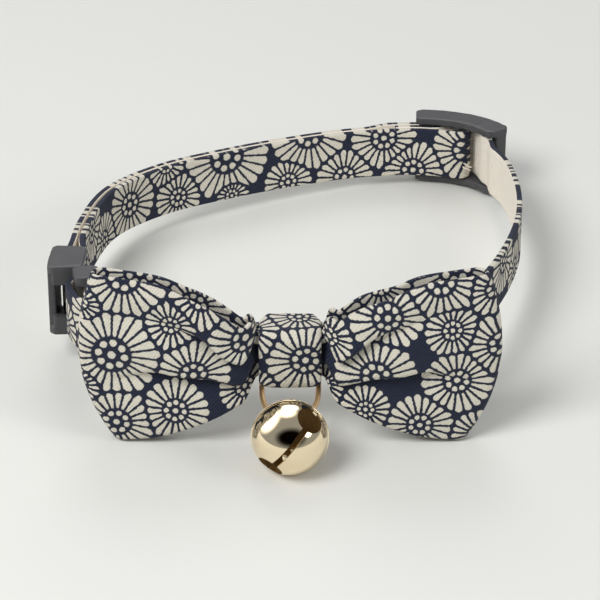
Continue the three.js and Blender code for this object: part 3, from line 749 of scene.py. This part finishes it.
class CollarHardware(bpy.types.PropertyGroup):
    rounding: bpy.props.IntProperty(
        name="Edge rounding", description="Passes of smoothing on the moulded edges", default=22,
        min=0, max=40,
    )
    bell_wall: measure("Bell wall", "Thickness of the bell's metal", 0.4, 0.2, 0.6)
    bell_slit: measure("Bell slit", "Width of the bell's slit", 1.0, 0.4, 1.5)
    bell_hole: measure("Bell hole", "Diameter of the holes at the slit's ends", 4.4, 2, 5)
    plastic: hue("Plastic", "Moulded plastic", "#3d3d40")
    plastic_worn: hue("Plastic, worn", "Moulded plastic where it is handled", "#4b4b4d")
    bell: hue("Bell", "Plating of the bell", "#faecd0")
    bell_worn: hue("Bell, worn", "Plating of the bell where it is rubbed", "#f1ddb6")
    inside: hue("Bell inside", "Bare brass inside the bell", "#d3bd8e")
    inside_worn: hue("Bell inside, dull", "Bare brass where it has gone dull", "#bb9f6c")
    ring: hue("Ring", "Plating of the D-ring", "#ffe0b4")
    ring_worn: hue("Ring, worn", "Plating of the D-ring where it is rubbed", "#f4cd98")


class CollarStage(bpy.types.PropertyGroup):
    floor: hue("Floor", "Pale floor under the collar", "#e3e3de")
    sky: hue("Room light", "Light of the room", "#eef1f4")
    room: bpy.props.FloatProperty(
        name="Room strength", description="Strength of the room's light", default=0.36, min=0, max=3
    )
    key: power("Key light", "Power of the large light at the upper left", 3.0)
    fill: power("Fill light", "Power of the light at the right", 0.9)


class CollarSettings(bpy.types.PropertyGroup):
    cloth: bpy.props.PointerProperty(type=CollarCloth)
    hardware: bpy.props.PointerProperty(type=CollarHardware)
    stage: bpy.props.PointerProperty(type=CollarStage)


def colours_of(group):
    return {
        key: tuple(getattr(group, key)) for key, kind in group.bl_rna.properties.items()
        if getattr(kind, "subtype", "") == "COLOR"
    }


# Operators
class COLLAR_OT_strap(bpy.types.Operator):
    """Build the strap with its printed and its plain side"""
    bl_idname = "collar.strap"
    bl_label = "Strap"

    def execute(self, context):
        cloth = context.scene.collar.cloth
        run = strap_run()
        line = [LOOP.at(arc, out) for arc, out in run]
        rows = 8
        half_width = cloth.strap_width / MM / 2

        def place(column, row):
            point = line[column]
            # It is drawn in where it runs through the knot, but not at the rear
            beside = abs(point.x) / KNOT_HALF
            wide = 1 if point.y > LOOP_DEPTH / 2 else smoothstep(beside, 1.3, 2.6)
            share = 2 * row / rows - 1
            half = lerp(STRAP_HALF_IN_KNOT, half_width, wide)
            return laid(point.x, point.y, share * half)

        def print_place(column, row, first, lowest):
            return run[column][0] % LOOP.length, (2 * row / rows - 1) * half_width

        strap = cloth_grid("strap_cloth", len(line) - 1, rows, place, print_place)
        turn_print_out(strap)
        modify(strap, "SOLIDIFY", thickness=cloth.strap_thickness, offset=0.0,
               use_rim=True, material_offset=1, material_offset_rim=0)
        modify(strap, "BEVEL", width=0.22 * MM, segments=2, limit_method="ANGLE",
               angle_limit=math.radians(50))
        colours = colours_of(cloth)
        keep(
            strap, "strap", "printed_cloth",
            printed_cotton("Printed cotton strap", STRAP_FLOWERS, colours),
            plain_webbing("Undyed cotton strap back", colours),
        )
        length = line_length(line) * MM
        return {"FINISHED"}


class COLLAR_OT_bow(bpy.types.Operator):
    """Build the folded bow from one band of cloth"""
    bl_idname = "collar.bow"
    bl_label = "Bow"

    def execute(self, context):
        cloth = context.scene.collar.cloth
        swell = cloth.swell / MM
        outs = [(step / 26) ** 1.35 for step in range(27)]

        def panel(out, face):
            row = []
            opened = smoothstep(out, 0, 0.08)
            apart = lerp(BOW_BACK - BOW_FRONT, 2 * END_RADIUS, opened)
            front = BOW_FRONT - fold_value("puff", out) * BOW_HEIGHT
            back = front + apart + fold_value("spread", out) * BOW_HEIGHT
            soft = swell * smoothstep(out, 0.02, 0.25) * (1 - 0.75 * smoothstep(out, 0.7, 1))
            for forward, up, share, lobe, bulge in panel_section(out):
                reach = wing_reach(share) - END_RADIUS
                gather = 0.1 * math.sin(share * 41 + out * 9) * smoothstep(out, 0.03, 0.1)
                gather *= 1 - smoothstep(out, 0.12, 0.4)
                depth = forward * (1 if face > 0 else 0.42) + (bulge * soft + gather) * (face > 0)
                row.append((
                    lerp(PINCH_HALF, reach, out), (front if face > 0 else back) - face * depth,
                    up, lobe,
                ))
            return row

        def end(faces):
            rows = []
            flat = panel(1, 1)
            for degrees in (-60, -30, 0, 30, 60):
                angle = math.radians(degrees) * faces
                rows.append([(
                    across + END_RADIUS * math.cos(angle),
                    back + END_RADIUS * (1 + math.sin(angle)), up, lobe,
                ) for across, back, up, lobe in flat])
            return rows

        fronts = [panel(out, 1) for out in outs]
        backs = [panel(out, -1) for out in outs]
        stations = [(1, row) for row in fronts + end(1) + backs[::-1]]
        stations += [(-1, row) for row in backs + end(-1) + fronts[::-1]]
        stations.append(stations[0])
        # The print of a wing's back is the mirrored print of its front
        print_side = [1] * (len(fronts) + 3) + [-1] * (2 * len(backs) + 5) + [1] * (len(fronts) + 3)

        def place(column, row):
            side, line = stations[column]
            across, back, up, _ = line[row]
            if side < 0:
                beside = smoothstep(across, PINCH_HALF, 6.6) * (1 - smoothstep(across, 9, 17))
                up -= LEFT_LOWER * beside * smoothstep(up, 0, 5)
            return laid(side * across, back, up)

        def print_place(column, row, first, lowest):
            side, line = stations[column]
            across, _, up, _ = line[row]
            lobe = line[min(lowest + 1, len(line) - 1)][3]
            return print_side[first] * side * across, up + LOBE_APART * lobe

        bow = cloth_grid(
            "bow_cloth", len(stations) - 1, len(fronts[0]) - 1, place, print_place, closed=True
        )
        turn_print_out(bow)
        modify(bow, "SOLIDIFY", thickness=cloth.bow_thickness, offset=0.0, use_rim=True)
        modify(bow, "SUBSURF", levels=1, render_levels=1)
        flowers = [
            (across, up + LOBE_APART * "lmh".index(lobe), radius)
            for across, up, radius, lobes in BOW_FLOWERS for lobe in lobes
        ]
        keep(bow, "bow", "printed_cloth",
             printed_cotton("Printed cotton bow", flowers, colours_of(cloth)))
        cut = [line_length([laid(*spot[:3]) for spot in row]) for row in fronts]
        around = line_length([place(column, 20) for column in range(len(stations))])
        return {"FINISHED"}


class COLLAR_OT_knot(bpy.types.Operator):
    """Build the knot band that gathers the bow and holds the strap"""
    bl_idname = "collar.knot"
    bl_label = "Knot band"

    def execute(self, context):
        cloth = context.scene.collar.cloth
        top, front, back = KNOT_TOP, KNOT_FRONT, KNOT_BACK
        soft, tight = 1.6, 0.8
        path = []

        def corner(depth, up, radius, start):
            for step in range(9):
                angle = math.radians(start + step * 11.25)
                path.append((depth + radius * math.cos(angle), up + radius * math.sin(angle)))

        def straight(count, depth_to, up_to):
            depth, up = path[-1]
            for step in range(1, count):
                path.append((lerp(depth, depth_to, step / count), lerp(up, up_to, step / count)))

        corner(back - tight, top - tight, tight, 0)
        straight(6, front + soft, top)
        corner(front + soft, top - soft, soft, 90)
        straight(10, front, soft - top)
        corner(front + soft, soft - top, soft, 180)
        straight(6, back - tight, -top)
        corner(back - tight, tight - top, tight, 270)
        straight(8, back, top - tight)
        path.append(path[0])
        runs = [0.0]
        for (depth, up), (next_depth, next_up) in zip(path, path[1:]):
            runs.append(runs[-1] + math.hypot(next_depth - depth, next_up - up))
        centre = min(
            range(len(path)), key=lambda spot: (path[spot][0] - front) ** 2 + path[spot][1] ** 2
        )
        rows = 10

        def width_at(depth, up):
            behind = smoothstep(depth, front, front + soft / 2)
            below = smoothstep(-up, 0, top - soft)
            drawn_in = max(behind * below, smoothstep(depth, back - 3, back))
            return lerp(KNOT_HALF, KNOT_HALF_BEHIND, drawn_in)

        def place(column, row):
            depth, up = path[column]
            share = 2 * row / rows - 1
            crown = 0.35 * (1 - share * share) * (1 - smoothstep(depth, front, front + 2))
            ruck = 0.1 * math.sin(up * 2.1 + share * 3)
            ruck *= 1 - smoothstep(depth, front, front + 1.5)
            return laid(share * width_at(depth, up), depth - crown - ruck, up)

        def print_place(column, row, first, lowest):
            depth, up = path[column]
            run = runs[column] - runs[centre]
            return (2 * row / rows - 1) * width_at(depth, up), -run

        knot = cloth_grid("knot_cloth", len(path) - 1, rows, place, print_place, closed=True)
        turn_print_out(knot)
        modify(knot, "SOLIDIFY", thickness=KNOT_CLOTH * MM, offset=0.0, use_rim=True)
        modify(knot, "SUBSURF", levels=2, render_levels=2)
        keep(knot, "knot_band", "printed_cloth",
             printed_cotton("Printed cotton knot", KNOT_FLOWERS, colours_of(cloth)))
        return {"FINISHED"}


class COLLAR_OT_hardware(bpy.types.Operator):
    """Round the edges of the slider and of both halves of the buckle"""
    bl_idname = "collar.hardware"
    bl_label = "Slider and buckle"

    def execute(self, context):
        hardware = context.scene.collar.hardware
        plastic = moulded_plastic("Moulded acetal, dark grey", colours_of(hardware))
        for node in ("slider", "buckle_socket", "buckle_plug"):
            piece = node_copy(node + "_moulded", node)
            modify(piece, "REMESH", mode="VOXEL", voxel_size=GRAIN * MM, use_smooth_shade=True)
            modify(piece, "SMOOTH", factor=0.5, iterations=hardware.rounding)
            settle(piece)
            keep(piece, node, "grey_plastic", plastic)
        return {"FINISHED"}


class COLLAR_OT_thread(bpy.types.Operator):
    """Add the loose ends of sewing thread at the slider's bar"""
    bl_idname = "collar.thread"
    bl_label = "Thread ends"

    def execute(self, context):
        shape = bmesh.new()
        for places in (
            ((-1.5, 0.6, -1.6), (-2.3, 0.1, -1.3), (-3.0, 0.0, -2.0), (-3.5, 0.2, -1.7)),
            ((-1.5, 0.4, -2.1), (-2.2, 0.0, -2.6), (-2.8, 0.1, -2.1), (-3.3, 0.2, -2.5)),
        ):
            rings = []
            count = 16
            for step in range(count + 1):
                middle = self.between(places, step / count)
                ahead = self.between(places, min(1, step / count + 0.02))
                behind = self.between(places, max(0, step / count - 0.02))
                turn = (ahead - behind).to_track_quat("Z", "Y").to_matrix().to_4x4()
                rings.append(bmesh.ops.create_circle(
                    shape, segments=8, radius=0.12 * MM,
                    matrix=Matrix.Translation(middle) @ turn,
                )["verts"])
            for low, high in zip(rings, rings[1:]):
                for side in range(8):
                    around = (side + 1) % 8
                    shape.faces.new((low[side], low[around], high[around], high[side]))
            for ring in (rings[0], rings[-1]):
                shape.faces.new(ring)
        bmesh.ops.recalc_face_normals(shape, faces=shape.faces)
        keep(solid_piece("thread_ends", shape), "strap", "printed_cloth",
             twisted_thread("Spun polyester thread", colours_of(context.scene.collar.cloth)))
        return {"FINISHED"}

    @staticmethod
    def between(places, share):
        """A point on the smooth line through four places given as arc, out and height."""
        rest = 1 - share
        weights = (rest ** 3, 3 * rest ** 2 * share, 3 * rest * share ** 2, share ** 3)
        arc, out, up = (
            sum(weight * place[axis] for weight, place in zip(weights, places)) for axis in range(3)
        )
        spot = LOOP.at(SLIDER_ARC + arc, out)
        return laid(spot.x, spot.y, up)


class COLLAR_OT_ring(bpy.types.Operator):
    """Build the D-ring from round wire"""
    bl_idname = "collar.ring"
    bl_label = "D-ring"

    def execute(self, context):
        hardware = context.scene.collar.hardware
        ring = node_copy("ring_wire", "d_ring")
        for face in ring.data.polygons:
            face.use_smooth = True
        modify(ring, "SUBSURF", levels=2, render_levels=2)
        keep(ring, "d_ring", "gold_wire", plated_metal(
            "Gold-plated wire", tuple(hardware.ring), tuple(hardware.ring_worn), 0.38, 900.0
        ))
        return {"FINISHED"}


class COLLAR_OT_bell(bpy.types.Operator):
    """Build the pressed bell with its slit, holes, seam, shank and loose ball"""
    bl_idname = "collar.bell"
    bl_label = "Bell"

    def execute(self, context):
        hardware = context.scene.collar.hardware
        low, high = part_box("bell")
        radius = (high[0] - low[0]) / 2
        centre = Vector(((high[0] + low[0]) / 2, low[1] + radius, low[2] + radius))
        stand = (
            Matrix.Translation(centre) @ Matrix.Rotation(math.radians(BELL_LEAN), 4, "X")
            @ Matrix.Rotation(math.radians(BELL_TURN), 4, "Z")
        )
        plating = plated_metal(
            "Gold-plated pressed brass", tuple(hardware.bell), tuple(hardware.bell_worn), 0.055,
            160.0,
        )
        ball = bmesh.new()
        bmesh.ops.create_uvsphere(ball, u_segments=96, v_segments=64, radius=radius)
        inner = bmesh.ops.create_uvsphere(
            ball, u_segments=96, v_segments=64, radius=radius - hardware.bell_wall
        )
        inner_faces = list({face for point in inner["verts"] for face in point.link_faces})
        bmesh.ops.reverse_faces(ball, faces=inner_faces)
        shell = solid_piece("bell_shell", ball)
        cutters = self.cutters(hardware, radius)
        for cutter in cutters:
            modify(shell, "BOOLEAN", object=cutter, operation="DIFFERENCE", solver="EXACT")
        settle(shell)
        for cutter in cutters:
            bpy.data.objects.remove(cutter)
        # The cut through the wall is plated, and the inside is bare
        inner_face = radius - hardware.bell_wall * 0.8
        for face in shell.data.polygons:
            face.material_index = 1 if face.center.length < inner_face else 0
        shell.data.transform(stand)
        shell.data.set_sharp_from_angle(angle=math.radians(40))
        modify(shell, "BEVEL", width=0.06 * MM, segments=2, limit_method="ANGLE",
               angle_limit=math.radians(50))
        bare = plated_metal(
            "Bare brass inside the bell", tuple(hardware.inside), tuple(hardware.inside_worn), 0.6,
            400.0, metal=0.25,
        )
        keep(shell, "bell", "gold_bell", plating, bare)
        self.trims(radius, stand, plating)
        self.clapper(plating)
        return {"FINISHED"}

    @staticmethod
    def cutters(hardware, radius):
        made = []
        slit = bmesh.new()
        reach = radius * math.sin(math.radians(SLIT_REACH))
        bmesh.ops.create_cube(slit, size=1, matrix=Matrix.Translation((0, 0, radius * 0.75))
                              @ Matrix.Diagonal((2 * reach, hardware.bell_slit, radius, 1)))
        made.append(solid_piece("cutter_slit", slit))
        for number, degrees in enumerate((-HOLE_PLACE, HOLE_PLACE)):
            hole = bmesh.new()
            bmesh.ops.create_cone(
                hole, cap_ends=True, segments=48, radius1=hardware.bell_hole / 2,
                radius2=hardware.bell_hole / 2, depth=radius,
                matrix=Matrix.Rotation(math.radians(degrees), 4, "Y")
                @ Matrix.Translation((0, 0, radius * 0.9)),
            )
            made.append(solid_piece(f"cutter_hole_{number}", hole))
        return made

    @staticmethod
    def trims(radius, stand, plating):
        """The rolled seam round the bell's middle, and the shank that the ring goes through."""
        shape = bmesh.new()
        wire_ring(shape, radius + 0.02 * MM, 0.16 * MM, Matrix.Identity(4), sides=10, steps=96)
        shank_radius = 1.75 * MM
        wire_ring(
            shape, shank_radius, 0.45 * MM,
            Matrix.Translation((0, 0, -(radius + shank_radius - 0.9 * MM)))
            @ Matrix.Rotation(math.radians(-BELL_TURN), 4, "Z")
            @ Matrix.Rotation(math.pi / 2, 4, "Y"),
            sides=16, steps=40,
        )
        shape.transform(stand)
        trim = solid_piece("bell_seam_and_shank", shape)
        keep(trim, "bell", "gold_bell", plating)

    @staticmethod
    def clapper(plating):
        low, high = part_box("bell_clapper")
        middle = [(a + b) / 2 for a, b in zip(low, high)]
        shape = bmesh.new()
        bmesh.ops.create_icosphere(
            shape, subdivisions=4, radius=(high[0] - low[0]) / 2, matrix=Matrix.Translation(middle)
        )
        keep(solid_piece("bell_ball", shape), "bell_clapper", "gold_bell", plating)


class COLLAR_OT_stage(bpy.types.Operator):
    """Lay the floor, set the lights and place the camera"""
    bl_idname = "collar.stage"
    bl_label = "Stage"

    def execute(self, context):
        stage = context.scene.collar.stage
        self.floor(stage)
        self.lights(stage)
        self.reflections()
        self.camera()
        return {"FINISHED"}

    @staticmethod
    def floor(stage):
        shape = bmesh.new()
        bmesh.ops.create_grid(shape, x_segments=1, y_segments=1, size=1.5)
        floor = solid_piece("floor", shape, smooth=False)
        material, tree = new_material("Painted board, pale")
        grain = noise(tree, add(tree, "TexCoord").outputs["Object"], 900.0)[0]
        finish_material(tree, tuple(stage.floor), grain, 0.00001, Roughness=0.8)
        floor.data.materials.append(material)

    @staticmethod
    def lights(stage):
        world = bpy.data.worlds.new("Room")
        bpy.context.scene.world = world
        world.use_nodes = True
        back = world.node_tree.nodes["Background"]
        back.inputs["Color"].default_value = tuple(stage.sky)
        back.inputs["Strength"].default_value = stage.room
        for name, spot, size, power in (
            ("key_light", (-0.32, -0.3, 0.5), 0.34, stage.key),
            ("fill_light", (0.5, -0.25, 0.32), 0.3, stage.fill),
            ("back_light", (0.0, 0.45, 0.5), 0.4, stage.fill),
        ):
            lamp = bpy.data.lights.new(name, "AREA")
            lamp.shape = "DISK"
            lamp.size = size
            lamp.energy = power
            thing = placed(name, lamp)
            thing.location = spot
            thing.visible_glossy = name != "key_light"
            toward = Vector((0, 0, 0.01)) - Vector(spot)
            thing.rotation_euler = toward.to_track_quat("-Z", "Y").to_euler()
        bpy.context.scene.view_settings.view_transform = "Standard"

    @staticmethod
    def reflections():
        """Soft cards that only the plated metal sees: the dark one behind the camera gives
        the bell the dark patch in its middle, and the light ones its two highlights."""
        bell = Vector((0, -46, 6)) * MM
        for name, toward, wide, high, code, strength in (
            ("dark_card", (0.06, -0.83, 0.52), 1.0, 0.52, "#120d09", 0.25),
            ("light_card_left", (-0.74, 0.28, 0.52), 0.5, 0.5, "#fffaf2", 2.6),
            ("light_card_above", (-0.1, 0.42, 0.85), 0.34, 0.34, "#fffaf2", 2.4),
        ):
            away = Vector(toward).normalized()
            shape = bmesh.new()
            shape.loops.layers.uv.new("Card")
            bmesh.ops.create_grid(
                shape, x_segments=1, y_segments=1, size=1, calc_uvs=True,
                matrix=Matrix.Translation(bell + away * 0.7)
                @ (-away).to_track_quat("Z", "Y").to_matrix().to_4x4()
                @ Matrix.Diagonal((wide, high, 1, 1)),
            )
            card = solid_piece(name, shape, smooth=False)
            material, tree = new_material("Soft card, " + name.replace("_", " "))
            place = add(tree, "TexCoord").outputs["UV"]
            off = vectors(tree, "DISTANCE", place, (0.5, 0.5, 0))
            cover = mapped(tree, off, 0.2, 0.5, 1.0, 0.0, "SMOOTHSTEP")
            glow = add(tree, "Emission", {0: linear(code), 1: strength}).outputs[0]
            clear = add(tree, "BsdfTransparent").outputs[0]
            faded = add(tree, "MixShader", {0: cover, 1: clear, 2: glow}).outputs[0]
            add(tree, "OutputMaterial", {0: faded})
            card.data.materials.append(material)
            card.visible_camera = card.visible_diffuse = card.visible_shadow = False
            card.visible_transmission = card.visible_volume_scatter = False

    @staticmethod
    def camera():
        """Sets the camera to the photograph's view."""
        target = Vector(VIEW_TARGET) * MM
        down = math.radians(VIEW_DOWN)
        view = bpy.data.cameras.new("photo_view")
        view.lens = VIEW_LENS
        view.sensor_width = 36
        view.clip_start = 0.01
        camera = placed("photo_view", view)
        ahead = Vector((0, math.cos(down), -math.sin(down)))
        camera.location = target - ahead * VIEW_AWAY * MM
        camera.rotation_euler = (math.pi / 2 - down, 0, 0)
        bpy.context.scene.camera = camera


class COLLAR_PT_panel(bpy.types.Panel):
    """Lists the collar's settings and pieces"""
    bl_idname = "COLLAR_PT_panel"
    bl_label = "Bow tie collar"
    bl_space_type = "VIEW_3D"
    bl_region_type = "UI"
    bl_category = "Collar"

    def draw(self, context):
        settings = context.scene.collar
        for group in (settings.cloth, settings.hardware, settings.stage):
            box = self.layout.box()
            for key in group.bl_rna.properties.keys():
                if key not in ("rna_type", "name"):
                    box.prop(group, key)
        for operator in OPERATORS:
            self.layout.operator(operator.bl_idname)


OPERATORS = (
    COLLAR_OT_strap, COLLAR_OT_bow, COLLAR_OT_knot, COLLAR_OT_thread, COLLAR_OT_hardware,
    COLLAR_OT_ring, COLLAR_OT_bell, COLLAR_OT_stage,
)
CLASSES = (CollarCloth, CollarHardware, CollarStage, CollarSettings, *OPERATORS, COLLAR_PT_panel)


def register():
    for kind in CLASSES:
        bpy.utils.register_class(kind)
    bpy.types.Scene.collar = bpy.props.PointerProperty(type=CollarSettings)


def unregister():
    del bpy.types.Scene.collar
    for kind in reversed(CLASSES):
        bpy.utils.unregister_class(kind)


def main():
    register()
    bpy.ops.collar.strap()
    bpy.ops.collar.bow()
    bpy.ops.collar.knot()
    bpy.ops.collar.thread()
    bpy.ops.collar.hardware()
    bpy.ops.collar.ring()
    bpy.ops.collar.bell()
    bpy.ops.collar.stage()


if __name__ == "__main__":
    main()
